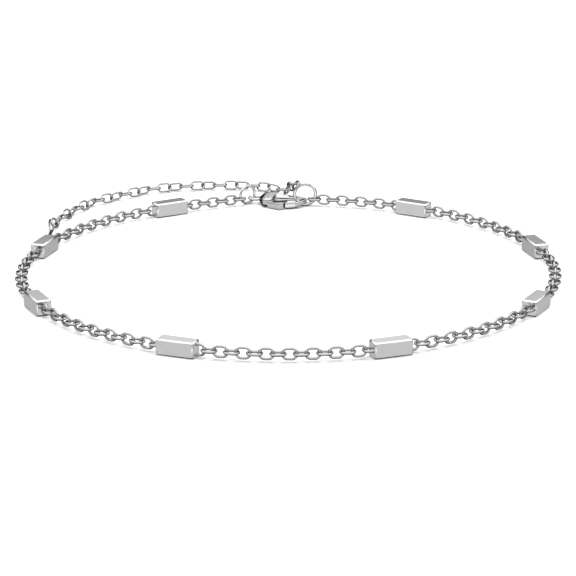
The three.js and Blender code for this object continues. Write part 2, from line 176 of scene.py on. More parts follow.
def silver_material(name, brushing_and_shade, edge_tone, shade):
    """Polished white metal with faint haze and fine marks from handling"""
    finish = bpy.context.scene.silver_finish
    material = bpy.data.materials.new(name)
    material.use_nodes = True
    nodes = material.node_tree.nodes
    links = material.node_tree.links
    shader = nodes["Principled BSDF"]
    shader.inputs["Metallic"].default_value = 1.0
    # Painted shade at the rims: the edge tone darkens grazing reflections
    shader.inputs["Specular Tint"].default_value = (edge_tone, edge_tone, edge_tone, 1.0)
    place = nodes.new("ShaderNodeTexCoord")

    haze = nodes.new("ShaderNodeTexNoise")
    haze.inputs["Scale"].default_value = HAZE_SCALE
    haze.inputs["Detail"].default_value = 4.0
    links.new(place.outputs["Object"], haze.inputs["Vector"])
    polish = map_range(nodes, finish.roughness * 0.7, finish.roughness * 1.5 + 0.05 * brushing_and_shade)
    links.new(haze.outputs["Fac"], polish.inputs["Value"])
    links.new(polish.outputs["Result"], shader.inputs["Roughness"])

    tone = nodes.new("ShaderNodeValToRGB")
    # Painted shade: the tint is scaled down for the darker copies of the metal
    red, green, blue = (channel * shade for channel in finish.tint)
    dull, bright = tone.color_ramp.elements
    dull.color = (red * 0.94, green * 0.94, blue * 0.945, 1.0)
    bright.color = (min(red * 1.04, 1), min(green * 1.04, 1), min(blue * 1.04, 1), 1.0)
    links.new(haze.outputs["Fac"], tone.inputs["Fac"])
    links.new(tone.outputs["Color"], shader.inputs["Base Color"])

    marks = nodes.new("ShaderNodeTexNoise")
    marks.inputs["Scale"].default_value = MARKS_SCALE
    marks.inputs["Detail"].default_value = 2.0
    links.new(place.outputs["Object"], marks.inputs["Vector"])
    relief = nodes.new("ShaderNodeBump")
    relief.inputs["Strength"].default_value = 0.05 + 0.05 * brushing_and_shade
    relief.inputs["Distance"].default_value = MARKS_DEPTH
    links.new(marks.outputs["Fac"], relief.inputs["Height"])
    links.new(relief.outputs["Normal"], shader.inputs["Normal"])
    return material


def shared_material(name):
    """Material of that finish, made at its first use; all but the bars get painted dark rims"""
    if name in bpy.data.materials:
        return bpy.data.materials[name]
    finish = bpy.context.scene.silver_finish
    brushing_and_shade = FINISHES_AND_PAINTED_SHADES[name]
    edge_tone = finish.edge_tone if name == "bar silver" else finish.wire_edge_tone
    # Painted shade: the less brushed finishes keep less of the tint
    shade = finish.wire_painted_shade + (1 - finish.wire_painted_shade) * min(brushing_and_shade / FULL_TINT_FROM, 1.0)
    return silver_material(name, brushing_and_shade, edge_tone, shade)


# Shared making

def shift(x, y, z=0.0):
    """Translation by so many mm"""
    return Matrix.Translation(Vector((x, y, z)) * MM)


def new_object(name, mesh_data):
    """Object of a bmesh, which is freed"""
    mesh = bpy.data.meshes.new(name)
    mesh_data.to_mesh(mesh)
    mesh_data.free()
    made = bpy.data.objects.new(name, mesh)
    bpy.context.scene.collection.objects.link(made)
    return made


def merge(target, part):
    """Adds one bmesh to another and frees it"""
    mesh = bpy.data.meshes.new("part")
    part.to_mesh(mesh)
    part.free()
    target.from_mesh(mesh)
    bpy.data.meshes.remove(mesh)


def new_piece(name, mesh_data, node, body=BODY, finish="polished silver"):
    """Wraps a bmesh as a piece that stands for a node and rides on its body"""
    piece = new_object(name, mesh_data)
    for face in piece.data.polygons:
        face.use_smooth = face.area < FLAT_OVER
    piece.data.materials.append(shared_material(finish))
    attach(piece, body)
    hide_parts(node)
    return piece


def add_wire(target, path, wire, matrix, sides=12, closed=True):
    """Sweeps round wire along a path of points that lie in one plane"""
    count = len(path)
    rings = []
    for i, point in enumerate(path):
        before = path[i - 1] if closed or i > 0 else point
        after = path[(i + 1) % count] if closed or i < count - 1 else point
        along = (after - before).normalized()
        side = Vector((-along.y, along.x, 0.0))
        ring = []
        for k in range(sides):
            angle = FULL_TURN * k / sides
            offset = side * math.cos(angle) + Vector((0, 0, 1)) * math.sin(angle)
            ring.append(target.verts.new(matrix @ ((point + offset * wire / 2) * MM)))
        rings.append(ring)
    last = count if closed else count - 1
    for i in range(last):
        first, second = rings[i], rings[(i + 1) % count]
        for k in range(sides):
            n = (k + 1) % sides
            target.faces.new((first[k], first[n], second[n], second[k]))
    if not closed:
        target.faces.new(list(reversed(rings[0])))
        target.faces.new(rings[-1])


def oval_path(length, width, wire, steps=36):
    """Centre line of an oval link: two half circles joined by straight sides"""
    radius = (width - wire) / 2
    straight = (length - width) / 2
    path = []
    for i in range(steps):
        angle = FULL_TURN * (i + 0.5) / steps
        x = radius * math.cos(angle) + math.copysign(straight, math.cos(angle))
        path.append(Vector((x, radius * math.sin(angle), 0.0)))
    return path


def circle_path(diameter, wire, steps=64, start=0.0, sweep=FULL_TURN):
    """Centre line of a ring, or of an open part of one with both its ends"""
    radius = (diameter - wire) / 2
    count = steps + 1 if sweep < FULL_TURN else steps
    angles = (start + sweep * i / steps for i in range(count))
    return [Vector((radius * math.cos(angle), radius * math.sin(angle), 0.0)) for angle in angles]


def on_circle(radius, angle):
    """A point of the loop; the angle runs from the front towards the right"""
    layout = bpy.context.scene.bracelet_layout
    return Vector((radius * math.sin(angle), layout.centre_y - radius * math.cos(angle), 0.0))


def laid(point, turn, height, upright=False):
    """Places something that lies along the chain, flat or stood on its edge"""
    matrix = shift(point.x, point.y, height) @ Matrix.Rotation(turn, 4, "Z")
    if upright:
        matrix = matrix @ Matrix.Rotation(math.pi / 2, 4, "X")
    return matrix


def chain_height():
    """Height of the bars' middle, where the chain's links lie too"""
    return bpy.context.scene.bar_sizes.section / 2


# Bars

# Faces across a bar's eased edge, and how full the edge is: 0.5 is round
BAR_EDGE_STEPS = 4
BAR_EDGE_PROFILE = 0.34

# Radius of the solder as a share of the wire, and how flat it lies
SOLDER_SIZE = 0.72
SOLDER_FLATNESS = 0.55


def add_bar_block(target, matrix):
    """Square block with rounded edges"""
    bars = bpy.context.scene.bar_sizes
    block = bmesh.new()
    size = Vector((bars.length, bars.section, bars.section)) * MM
    bmesh.ops.create_cube(block, size=1.0, matrix=Matrix.Diagonal(size.to_4d()))
    bmesh.ops.bevel(
        block, geom=list(block.edges), offset=bars.edge * MM, offset_type="OFFSET",
        segments=BAR_EDGE_STEPS, profile=BAR_EDGE_PROFILE, affect="EDGES", clamp_overlap=True)
    bmesh.ops.transform(block, matrix=matrix, verts=list(block.verts))
    merge(target, block)


def add_solder(target, matrix, across):
    """Small fillet of solder where a loop's wire meets the bar's end"""
    bars = bpy.context.scene.bar_sizes
    for side in (-1, 1):
        spot = matrix @ shift(0, side * across)
        bmesh.ops.create_uvsphere(
            target, u_segments=16, v_segments=10, radius=bars.loop_wire * SOLDER_SIZE * MM,
            matrix=spot @ Matrix.Diagonal((SOLDER_FLATNESS, 1.0, 1.0, 1.0)))


class BRACELET_OT_bars(bpy.types.Operator):
    """Make the square bars with the loops soldered to their ends"""

    bl_idname = "bracelet.bars"
    bl_label = "Bars"

    def execute(self, context):
        bars = context.scene.bar_sizes
        layout = context.scene.bracelet_layout
        path = oval_path(2 * bars.loop_reach, bars.loop_width, bars.loop_wire)
        across = (bars.loop_width - bars.loop_wire) / 2
        for i in range(bars.count):
            angle = (i - (bars.count - 1) / 2) * layout.bar_spacing
            at = on_circle(layout.bar_radius, angle)
            matrix = laid(at, angle, chain_height())
            block = bmesh.new()
            add_bar_block(block, matrix)
            new_piece(f"square_bar_{i + 1}", block, f"bar_{i + 1}", finish="bar silver")
            loops = bmesh.new()
            upright = Matrix.Rotation(math.pi / 2, 4, "X")
            leading = matrix @ shift(bars.length / 2, 0) @ upright
            trailing = matrix @ shift(-bars.length / 2, 0)
            for end in (leading, trailing):
                add_wire(loops, path, bars.loop_wire, end)
                add_solder(loops, end, across)
            new_piece(f"bar_loops_{i + 1}", loops, f"bar_{i + 1}")
        return {"FINISHED"}


# Cable chain

def add_links(target, places, first_is_flat):
    """Links at their places, flat and upright by turns"""
    sizes = bpy.context.scene.link_sizes
    path = oval_path(sizes.pitch + 2 * sizes.wire, sizes.width, sizes.wire)
    for i, (point, turn) in enumerate(places):
        upright = (i % 2 == 0) != first_is_flat
        add_wire(target, path, sizes.wire, laid(point, turn, chain_height(), upright), sides=10)


def bar_reach():
    """From a bar's middle to the point where its loop is hooked, in mm"""
    layout = bpy.context.scene.bracelet_layout
    return math.sqrt(layout.contact_radius ** 2 - layout.bar_radius ** 2)


def walk_links(side, count, turn):
    """Places of an end stretch's links, stepping away from its bar's loop; side is 1 or -1"""
    sizes = bpy.context.scene.link_sizes
    layout = bpy.context.scene.bracelet_layout
    bars = bpy.context.scene.bar_sizes
    half_bar = math.asin(bar_reach() / layout.contact_radius)
    angle = side * ((bars.count - 1) / 2 * layout.bar_spacing + half_bar)
    at = on_circle(layout.contact_radius, angle)
    direction = angle if side > 0 else angle + math.pi
    step = sizes.start
    places = []
    for _ in range(count):
        direction += turn / 2
        at = at + Vector((math.cos(direction), math.sin(direction), 0.0)) * step
        places.append((at, direction))
        direction += turn / 2
        step = sizes.pitch
    return places


class BRACELET_OT_chains(bpy.types.Operator):
    """Make the stretches of cable chain between the bars and at the two ends"""

    bl_idname = "bracelet.chains"
    bl_label = "Cable chain"

    def execute(self, context):
        bars = context.scene.bar_sizes
        layout = context.scene.bracelet_layout
        sizes = context.scene.link_sizes
        link_angle = 2 * math.asin(sizes.pitch / (2 * layout.contact_radius))
        for i in range(bars.count - 1):
            middle = (i + 1 - bars.count / 2) * layout.bar_spacing
            places = []
            for k in range(sizes.per_stretch):
                angle = middle + (k - (sizes.per_stretch - 1) / 2) * link_angle
                places.append((on_circle(layout.contact_radius, angle), angle))
            mesh = bmesh.new()
            add_links(mesh, places, True)
            new_piece(f"cable_chain_{i + 1}", mesh, f"chain_{i + 1}")

        mesh = bmesh.new()
        add_links(mesh, walk_links(1, sizes.right_end, link_angle * sizes.right_bend), True)
        new_piece("cable_chain_right_end", mesh, "chain_right_end")
        mesh = bmesh.new()
        add_links(mesh, walk_links(-1, sizes.left_end, 0.0), False)
        new_piece("cable_chain_left_end", mesh, "chain_left_end")
        return {"FINISHED"}


# Jump rings

# Width of the cut where a ring was closed, in mm, and where each ring has it
RING_CUT = 0.025
CLASP_RING_SEAM = math.radians(100)
EXTENDER_RING_SEAM = math.radians(60)


def box_middle(node):
    """Middle of a node's box, in mm"""
    low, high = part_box(node)
    return (Vector(low) + Vector(high)) / 2 / MM


def add_jump_ring(name, node, diameter, wire, turn, seam):
    """Upright ring of round wire, with the fine cut where it was closed"""
    cut = RING_CUT / diameter
    path = circle_path(diameter, wire, steps=72, start=seam + cut, sweep=FULL_TURN - 2 * cut)
    place = laid(box_middle(node), turn, diameter / 2, upright=True)
    mesh = bmesh.new()
    add_wire(mesh, path, wire, place, sides=16, closed=False)
    new_piece(name, mesh, node, finish="ring silver")


class BRACELET_OT_rings(bpy.types.Operator):
    """Make the two jump rings beside the clasp"""

    bl_idname = "bracelet.rings"
    bl_label = "Jump rings"

    def execute(self, context):
        rings = context.scene.ring_sizes
        add_jump_ring("jump_ring_clasp", "clasp_ring", rings.clasp_diameter, rings.clasp_wire,
                      rings.clasp_turn, CLASP_RING_SEAM)
        add_jump_ring("jump_ring_extender", "extender_ring", rings.extender_diameter,
                      rings.extender_wire, 0.0, EXTENDER_RING_SEAM)
        return {"FINISHED"}


# Clasp

class ClaspSizes(bpy.types.PropertyGroup):
    """Sizes of the lobster clasp, in mm; x runs from its tail to its nose, y away from the lever"""

    place: bpy.props.FloatVectorProperty(
        name="Place", description="Where the clasp's tail end stands",
        default=(-3.831726, 26.246926, 0.0))
    turn: bpy.props.FloatProperty(
        name="Turn", description="Turn of the clasp on the surface", default=math.radians(-10),
        subtype="ANGLE", unit="ROTATION")
    height: bpy.props.FloatProperty(name="Height", description="Thickness of its body", default=1.4)
    middle: bpy.props.FloatProperty(
        name="Middle", description="Height of the tail's wire", default=0.62)
    tail_length: bpy.props.FloatProperty(
        name="Tail length", description="Length of the tail loop", default=1.75)
    tail_width: bpy.props.FloatProperty(
        name="Tail width", description="Width of the tail loop", default=1.5)
    tail_wire: bpy.props.FloatProperty(
        name="Tail wire", description="Wire of the tail loop", default=0.35)
    tail_sunk: bpy.props.FloatProperty(
        name="Tail root", description="How deep the loop is set in", default=0.25)
    pin_across: bpy.props.FloatProperty(
        name="Pin across", description="Pin's distance to the side", default=-1.35)
    pin_along: bpy.props.FloatProperty(
        name="Pin along", description="Pin's distance from the tail end", default=1.05)
    pin_diameter: bpy.props.FloatProperty(
        name="Pin", description="Diameter of the pin", default=0.4)
    pin_top: bpy.props.FloatProperty(
        name="Pin top", description="Height of the pin's head", default=1.17)
    slot_radius: bpy.props.FloatProperty(
        name="Slot", description="Radius of the lever's slot", default=0.85)
    slot_height: bpy.props.FloatProperty(
        name="Slot height", description="Height of the slot", default=0.66)
    lever_low: bpy.props.FloatProperty(
        name="Lever low", description="Underside of the lever", default=0.08)
    lever_high: bpy.props.FloatProperty(
        name="Lever high", description="Top of the lever", default=0.84)
    lever_eye: bpy.props.FloatProperty(
        name="Lever eye", description="Radius of the lever's eye", default=0.5)
    lever_edge: bpy.props.FloatProperty(
        name="Lever edge", description="Rounding of its edges", default=0.07)


# Body of the claw, section by section from the tail to the tip: where its inner and outer
# edge are, and its underside and top
CLAW_SECTIONS = [
    (0.0, -0.55, 0.0, 0.62, 0.4, 0.84),
    (0.33, -1.3, 0.3, 0.95, 0.18, 1.12),
    (0.64, -1.88, 0.65, 1.18, 0.04, 1.33),
    (1.05, -2.05, 1.0, 1.28, 0.0, 1.4),
    (1.52, -1.86, 1.3, 1.3, 0.0, 1.4),
    (1.75, -1.35, 1.6, 1.27, 0.0, 1.37),
    (1.77, -0.6, 1.95, 1.22, 0.03, 1.28),
    (1.95, 0.0, 2.3, 1.15, 0.12, 1.16),
    (2.64, 0.27, 2.75, 1.06, 0.24, 1.04),
    (3.45, 0.35, 3.5, 0.97, 0.32, 0.97),
    (4.28, 0.22, 4.77, 0.76, 0.42, 0.94),
    (5.08, -0.12, 5.72, -0.1, 0.52, 0.92),
    (4.96, -0.64, 5.48, -1.0, 0.4, 0.92),
    (4.45, -1.12, 4.8, -1.87, 0.14, 0.91),
    (3.7, -1.3, 3.5, -2.35, 0.02, 0.9),
]

# How much the claw's top falls towards the lever's side, and how round its sections are:
# 0 is a rectangle and 1 an ellipse
CLAW_TOP_SLOPE = 0.35
CLAW_ROUNDNESS = 0.5

# Sides of the claw's sections, steps from one to the next, and how much smaller the first and
# the last are
CLAW_SIDES = 32
CLAW_STEPS = 6
CLAW_FIRST_SHARE = 0.7
CLAW_LAST_SHARE = 0.94

# Plan of the lever: its curved back about the pin, as radius, first and last direction, then its
# blunt end at the claw's tip and its thumb tab
LEVER_BACK = (0.82, math.radians(-72), math.radians(-10.8))
LEVER_BACK_STEPS = 10
LEVER_TIP = [(3.58, -1.3), (3.42, -2.2), (3.25, -2.6), (2.98, -2.9)]

# Lever's eye: where it leaves the lever, from the pin, its half thickness and its rounding
EYE_ROOT = [(1.0, -0.38), (0.66, -0.92)]
EYE_HALF_THICKNESS = 0.27
EYE_EDGE = 0.04
EYE_STEPS = 24

# Pin: its play in the claw's bore, and its profile as shares of its radius, with heights from
# the surface and down from its top
BORE_PLAY = 0.03
RIVET_FOOT = [(0.0, 0.02), (0.6, 0.04), (0.9, 0.1), (1.0, 0.16)]
RIVET_HEAD = [(1.0, 0.2), (0.9, 0.1), (0.6, 0.03), (0.0, 0.0)]


def clasp_matrix():
    """Place and turn of the clasp, whose own origin is at its tail end"""
    sizes = bpy.context.scene.clasp_sizes
    return shift(*sizes.place) @ Matrix.Rotation(sizes.turn, 4, "Z")


def smooth_points(points, steps):
    """Points on a smooth curve through the given ones"""
    curve = []
    last = len(points) - 1
    for i in range(last):
        a, b = points[max(i - 1, 0)], points[i]
        c, d = points[i + 1], points[min(i + 2, last)]
        for k in range(steps):
            t = k / steps
            curve.append(
                (2 * b + (c - a) * t + (2 * a - 5 * b + 4 * c - d) * t ** 2
                 + (3 * b - a - 3 * c + d) * t ** 3) / 2)
    curve.append(points[-1])
    return curve


def rounded_power(value, power):
    """Power that keeps the sign"""
    return math.copysign(abs(value) ** power, value)


def add_claw_body(target, matrix):
    """Body of the clasp, one rounded section after another from the tail to the tip"""
    stations = smooth_points([Vector(section) for section in CLAW_SECTIONS], CLAW_STEPS)
    shares = [1.0] * len(stations)
    shares[0], shares[-1] = CLAW_FIRST_SHARE, CLAW_LAST_SHARE
    rings = []
    for station, share in zip(stations, shares):
        near, far = Vector(station[0:2]), Vector(station[2:4])
        low, high = station[4], station[5]
        ring = []
        for k in range(CLAW_SIDES):
            angle = FULL_TURN * (k + 0.5) / CLAW_SIDES
            u = rounded_power(math.cos(angle), CLAW_ROUNDNESS) * share
            v = rounded_power(math.sin(angle), CLAW_ROUNDNESS) * share
            if v > 0:
                v *= (1 + CLAW_TOP_SLOPE * u) / (1 + CLAW_TOP_SLOPE)
            spot = near.lerp(far, (u + 1) / 2)
            z = (low + high) / 2 + v * (high - low) / 2
            ring.append(target.verts.new(matrix @ (Vector((spot.x, spot.y, z)) * MM)))
        rings.append(ring)
    for first, second in zip(rings, rings[1:]):
        for k in range(CLAW_SIDES):
            n = (k + 1) % CLAW_SIDES
            target.faces.new((first[k], second[k], second[n], first[n]))
    target.faces.new(rings[0])
    target.faces.new(list(reversed(rings[-1])))


def cylinder_piece(radius, low, high, x, y, matrix):
    """Loose cylinder that is only used to cut others"""
    mesh_data = bmesh.new()
    bmesh.ops.create_cone(
        mesh_data, cap_ends=True, segments=64, radius1=radius * MM, radius2=radius * MM,
        depth=(high - low) * MM, matrix=matrix @ shift(x, y, (low + high) / 2))
    return new_object("cutter", mesh_data)


# Edges sharper than this stay crisp: on the claw where it is cut, and on the lever
SHARP_FROM = math.radians(38)
LEVER_SHARP_FROM = math.radians(50)


def cut_away(piece, cutters):
    """Cuts the cutters out of a piece for good and clears them away"""
    for cutter in cutters:
        cut = piece.modifiers.new("cut", "BOOLEAN")
        cut.operation = "DIFFERENCE"
        cut.solver = "EXACT"
        cut.object = cutter
    bpy.context.view_layer.update()
    worked_out = piece.evaluated_get(bpy.context.evaluated_depsgraph_get())
    shape = bpy.data.meshes.new_from_object(worked_out)
    piece.modifiers.clear()
    worn = piece.data
    piece.data = shape
    bpy.data.meshes.remove(worn)
    for cutter in cutters:
        mesh = cutter.data
        bpy.data.objects.remove(cutter)
        bpy.data.meshes.remove(mesh)
    shape.set_sharp_from_angle(angle=SHARP_FROM)


def add_plate(target, outline, low, high, rounding, matrix):
    """Flat plate of a plan outline with softly rounded edges"""
    plate = bmesh.new()
    verts = [plate.verts.new((x, y, low)) for x, y in outline]
    base = plate.faces.new(verts)
    raised = bmesh.ops.extrude_face_region(plate, geom=[base])
    bmesh.ops.translate(
        plate, vec=(0, 0, high - low),
        verts=[item for item in raised["geom"] if isinstance(item, bmesh.types.BMVert)])
    bmesh.ops.recalc_face_normals(plate, faces=list(plate.faces))
    plate.normal_update()
    corners = [
        edge for edge in plate.edges
        if len(edge.link_faces) == 2 and edge.calc_face_angle(0) > math.radians(30)
    ]
    bmesh.ops.bevel(
        plate, geom=corners, offset=rounding, offset_type="OFFSET", segments=3, profile=0.5,
        affect="EDGES", clamp_overlap=True)
    bmesh.ops.transform(plate, matrix=matrix @ Matrix.Scale(MM, 4), verts=list(plate.verts))
    merge(target, plate)


def arc_about(x, y, radius, start, end, steps):
    """Plan points along an arc about a middle"""
    angles = (start + (end - start) * k / steps for k in range(steps + 1))
    return [(x + radius * math.cos(angle), y + radius * math.sin(angle)) for angle in angles]


def add_turned(target, profile, matrix, sides=32):
    """Turned piece from its profile of radius and height, closed at both ends"""
    rings = []
    for radius, z in profile:
        if radius == 0:
            rings.append([target.verts.new(matrix @ Vector((0, 0, z * MM)))])
            continue
        angles = (FULL_TURN * k / sides for k in range(sides))
        points = (Vector((radius * math.cos(a), radius * math.sin(a), z)) * MM for a in angles)
        rings.append([target.verts.new(matrix @ point) for point in points])
    for first, second in zip(rings, rings[1:]):
        for k in range(sides):
            n = (k + 1) % sides
            if len(first) == 1:
                target.faces.new((first[0], second[n], second[k]))
            elif len(second) == 1:
                target.faces.new((first[k], first[n], second[0]))
            else:
                target.faces.new((first[k], first[n], second[n], second[k]))


class BRACELET_OT_clasp(bpy.types.Operator):
    """Make the clasp's body with its tail loop, the lever and the pin it turns on"""

    bl_idname = "bracelet.clasp"
    bl_label = "Lobster clasp"

    def execute(self, context):
        sizes = context.scene.clasp_sizes
        matrix = clasp_matrix()
        slot_low = sizes.middle - sizes.slot_height / 2
        pin_x, pin_y = sizes.pin_along, sizes.pin_across
        radius = sizes.pin_diameter / 2

        body_mesh = bmesh.new()
        add_claw_body(body_mesh, matrix)
        body = new_piece("clasp_claw", body_mesh, "clasp_body", finish="clasp silver")
        cut_away(body, [
            cylinder_piece(sizes.slot_radius, slot_low, slot_low + sizes.slot_height,
                           pin_x, pin_y, matrix),
            cylinder_piece(radius + BORE_PLAY, -1, sizes.height + 1, pin_x, pin_y, matrix),
        ])

        tail = bmesh.new()
        path = oval_path(sizes.tail_length, sizes.tail_width, sizes.tail_wire, steps=48)
        place = matrix @ shift(sizes.tail_sunk - sizes.tail_length / 2, 0, sizes.middle)
        add_wire(tail, path, sizes.tail_wire, place, sides=16)
        new_piece("clasp_tail_loop", tail, "clasp_body", finish="ring silver")

        pin = bmesh.new()
        rivet = RIVET_FOOT + [(share, sizes.pin_top - down) for share, down in RIVET_HEAD]
        profile = [(share * radius, z) for share, z in rivet]
        add_turned(pin, profile, matrix @ shift(pin_x, pin_y))
        new_piece("clasp_rivet", pin, "clasp_pin", finish="clasp silver")

        lever = bmesh.new()
        plan = arc_about(pin_x, pin_y, *LEVER_BACK, LEVER_BACK_STEPS) + LEVER_TIP
        add_plate(lever, plan, sizes.lever_low, sizes.lever_high, sizes.lever_edge, matrix)
        eye = [(pin_x + x, pin_y + y) for x, y in EYE_ROOT]
        eye += arc_about(pin_x, pin_y, sizes.lever_eye, -math.pi / 2, -math.pi * 1.5, EYE_STEPS)
        add_plate(lever, list(reversed(eye)), sizes.middle - EYE_HALF_THICKNESS,
                  sizes.middle + EYE_HALF_THICKNESS, EYE_EDGE, matrix)
        piece = new_piece("clasp_thumb_lever", lever, "clasp_lever", body=LEVER_BODY,
                          finish="clasp silver")
        piece.data.set_sharp_from_angle(angle=LEVER_SHARP_FROM)
        return {"FINISHED"}


# Extender

class ExtenderSizes(bpy.types.PropertyGroup):
    """Sizes of the extender chain and its end, in mm"""

    width: bpy.props.FloatProperty(name="Width", description="Width of its links", default=1.25)
    wire: bpy.props.FloatProperty(name="Wire", description="Wire of its links", default=0.26)
    pitch: bpy.props.FloatProperty(
        name="Pitch", description="Distance from link to link", default=1.37)
    twist: bpy.props.FloatProperty(
        name="Twist", description="Turn from link to link", default=math.radians(60),
        subtype="ANGLE", unit="ROTATION")
    first_turn: bpy.props.FloatProperty(
        name="First turn", description="Turn of its first link", default=math.radians(125),
        subtype="ANGLE", unit="ROTATION")
    end_turn: bpy.props.FloatProperty(
        name="End turn", description="Turn of its last ring from facing sideways",
        default=math.radians(25), subtype="ANGLE", unit="ROTATION")
    end_ring: bpy.props.FloatProperty(
        name="End ring", description="Diameter of its last ring", default=1.6)
    end_wire: bpy.props.FloatProperty(
        name="End wire", description="Wire of its last ring", default=0.24)
    tag_length: bpy.props.FloatProperty(name="Tag", description="Length of its tag", default=2.6)


# Route of the extender from the ring it hangs in, relative to that ring's centre on the
# surface: over the clasp, down, and round behind the bars
EXTENDER_ROUTE = [
    (-1.2, 0.66, 2.55), (-1.45, 1.75, 2.25), (-1.8, 2.95, 1.6), (-2.2, 4.1, 0.9),
    (-2.9, 5.25, 0.6), (-4.2, 6.15, 0.6), (-7.5, 7.24, 0.6), (-11.5, 7.24, 0.6),
    (-15.2, 6.7, 0.6), (-18.8, 5.4, 0.6), (-22.0, 2.8, 0.6), (-24.9, 0.0, 0.6),
    (-27.0, -3.7, 0.6), (-28.4, -7.8, 0.6), (-29.1, -10.6, 0.6),
]
EXTENDER_HOOK = (-0.9, 0.0, 2.37)

# Play between the ring and the first link, and between the links and the surface
HOOK_PLAY = 0.02
FLOOR_PLAY = 0.02

# Tag: half its width at its ends and between, how far its widest part is from its two ends, its
# underside and top, and its rounding
TAG_HALF_ENDS = 0.1
TAG_HALF_WIDTH = 0.18
TAG_WIDEST_FROM = 1.2
TAG_WIDEST_TO = 0.25
TAG_LOW = 0.02
TAG_HIGH = 0.26
TAG_EDGE = 0.05


def even_route(points, pitch):
    """Points at even distances along a smooth route"""
    fine = smooth_points([Vector(point) for point in points], 40)
    spots = [fine[0]]
    walked = 0.0
    for before, after in zip(fine, fine[1:]):
        step = (after - before).length
        walked += step
        if walked >= pitch:
            back = (walked - pitch) / step
            spots.append(after.lerp(before, back))
            walked -= pitch
    return spots


class BRACELET_OT_extender(bpy.types.Operator):
    """Make the extender chain and the small ring and tag at its end"""

    bl_idname = "bracelet.extender"
    bl_label = "Extender"

    def execute(self, context):
        sizes = context.scene.extender_sizes
        ring = box_middle("extender_ring")
        foot = Vector((ring.x, ring.y, 0))
        hook = Vector(EXTENDER_HOOK)
        length = sizes.pitch + 2 * sizes.wire
        ring_wire = context.scene.ring_sizes.extender_wire
        hooked = length / 2 - sizes.wire - ring_wire / 2 - HOOK_PLAY
        first = hook + (Vector(EXTENDER_ROUTE[0]) - hook).normalized() * hooked
        route = [first] + [Vector(point) for point in EXTENDER_ROUTE[1:]]
        spots = even_route(route, sizes.pitch)
        path = oval_path(length, sizes.width, sizes.wire, steps=32)
        chain = bmesh.new()
        for spot in spots:
            spot.z = max(spot.z, sizes.width / 2 + FLOOR_PLAY)
        for i, spot in enumerate(spots):
            before, after = spots[max(i - 1, 0)], spots[min(i + 1, len(spots) - 1)]
            along = (after - before).normalized()
            side = along.cross(Vector((0, 0, 1))).normalized()
            frame_of_link = Matrix((along, side, along.cross(side))).transposed().to_4x4()
            turn = Matrix.Rotation(sizes.first_turn + i * sizes.twist, 4, "X")
            matrix = Matrix.Translation((foot + spot) * MM) @ frame_of_link @ turn
            add_wire(chain, path, sizes.wire, matrix, sides=10)
        new_piece("extender_links", chain, "extender_chain")

        middle = box_middle("extender_end")
        back = Vector(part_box("extender_end")[1]).y / MM - sizes.end_ring / 2
        end = bmesh.new()
        stand = shift(middle.x, back, sizes.end_ring / 2) @ Matrix.Rotation(sizes.end_turn, 4, "Z")
        stand = stand @ Matrix.Rotation(math.pi / 2, 4, "Y")
        add_wire(end, circle_path(sizes.end_ring, sizes.end_wire), sizes.end_wire, stand, sides=16)
        side = [
            (TAG_HALF_ENDS, 0.0), (TAG_HALF_WIDTH, -TAG_WIDEST_FROM),
            (TAG_HALF_WIDTH, TAG_WIDEST_TO - sizes.tag_length), (TAG_HALF_ENDS, -sizes.tag_length),
        ]
        tag = [(-x, y) for x, y in side] + side[::-1]
        add_plate(end, tag, TAG_LOW, TAG_HIGH, TAG_EDGE, shift(middle.x, back))
        new_piece("extender_end_ring_and_tag", end, "extender_end")
        return {"FINISHED"}


# Stage

class StageLook(bpy.types.PropertyGroup):
    """Light, floor and camera"""

    floor: bpy.props.FloatProperty(
        name="Floor", description="Whiteness of the floor", default=0.95, min=0, max=1)
    sky: bpy.props.FloatProperty(name="Room", description="Light from above", default=1.0, min=0)
    lamp_power: bpy.props.FloatProperty(
        name="Lamp", description="Power of the soft lamp", default=0.62, min=0)
    field_of_view: bpy.props.FloatProperty(
        name="Field of view", description="Of the camera", default=math.radians(13.46),
        subtype="ANGLE", unit="ROTATION")
    camera_place: bpy.props.FloatVectorProperty(
        name="Camera", description="Camera's place in mm from the loop's centre",
        default=(4.10, -252.51, 76.94))
    camera_aim: bpy.props.FloatVectorProperty(
        name="Aim", description="Where it aims, in mm from the loop's centre",
        default=(0.032, -4.431, 0.0))
    camera_roll: bpy.props.FloatProperty(
        name="Roll", description="Camera's roll",
        default=math.radians(-0.24), subtype="ANGLE", unit="ROTATION")


# Half the floor's side, the lamp's two sides and its place, in metres
FLOOR_HALF = 4.0
LAMP_SIZE = (0.3, 0.22)
LAMP_PLACE = (0.02, 0.06, 0.3)

# Scale and depth of the floor's faint grain
GRAIN_SCALE = 300.0
GRAIN_DEPTH = 0.005

# Loop's middle across the picture, in mm, as the camera was fitted to it
CAMERA_CENTRE_X = -0.0009


def make_floor(look):
    """Large plain floor of pale paper"""
    mesh_data = bmesh.new()
    bmesh.ops.create_grid(mesh_data, x_segments=1, y_segments=1, size=FLOOR_HALF)
    floor = new_object("floor", mesh_data)
    paper = bpy.data.materials.new("pale paper")
    paper.use_nodes = True
    nodes = paper.node_tree.nodes
    links = paper.node_tree.links
    shader = nodes["Principled BSDF"]
    shader.inputs["Roughness"].default_value = 0.9
    shader.inputs["Specular IOR Level"].default_value = 0.0
    place = nodes.new("ShaderNodeTexCoord")
    grain = nodes.new("ShaderNodeTexNoise")
    grain.inputs["Scale"].default_value = GRAIN_SCALE
    links.new(place.outputs["Object"], grain.inputs["Vector"])
    tone = map_range(nodes, look.floor - GRAIN_DEPTH, look.floor + GRAIN_DEPTH)
    links.new(grain.outputs["Fac"], tone.inputs["Value"])
    links.new(tone.outputs["Result"], shader.inputs["Base Color"])
    floor.data.materials.append(paper)
    floor.visible_glossy = False
    return floor


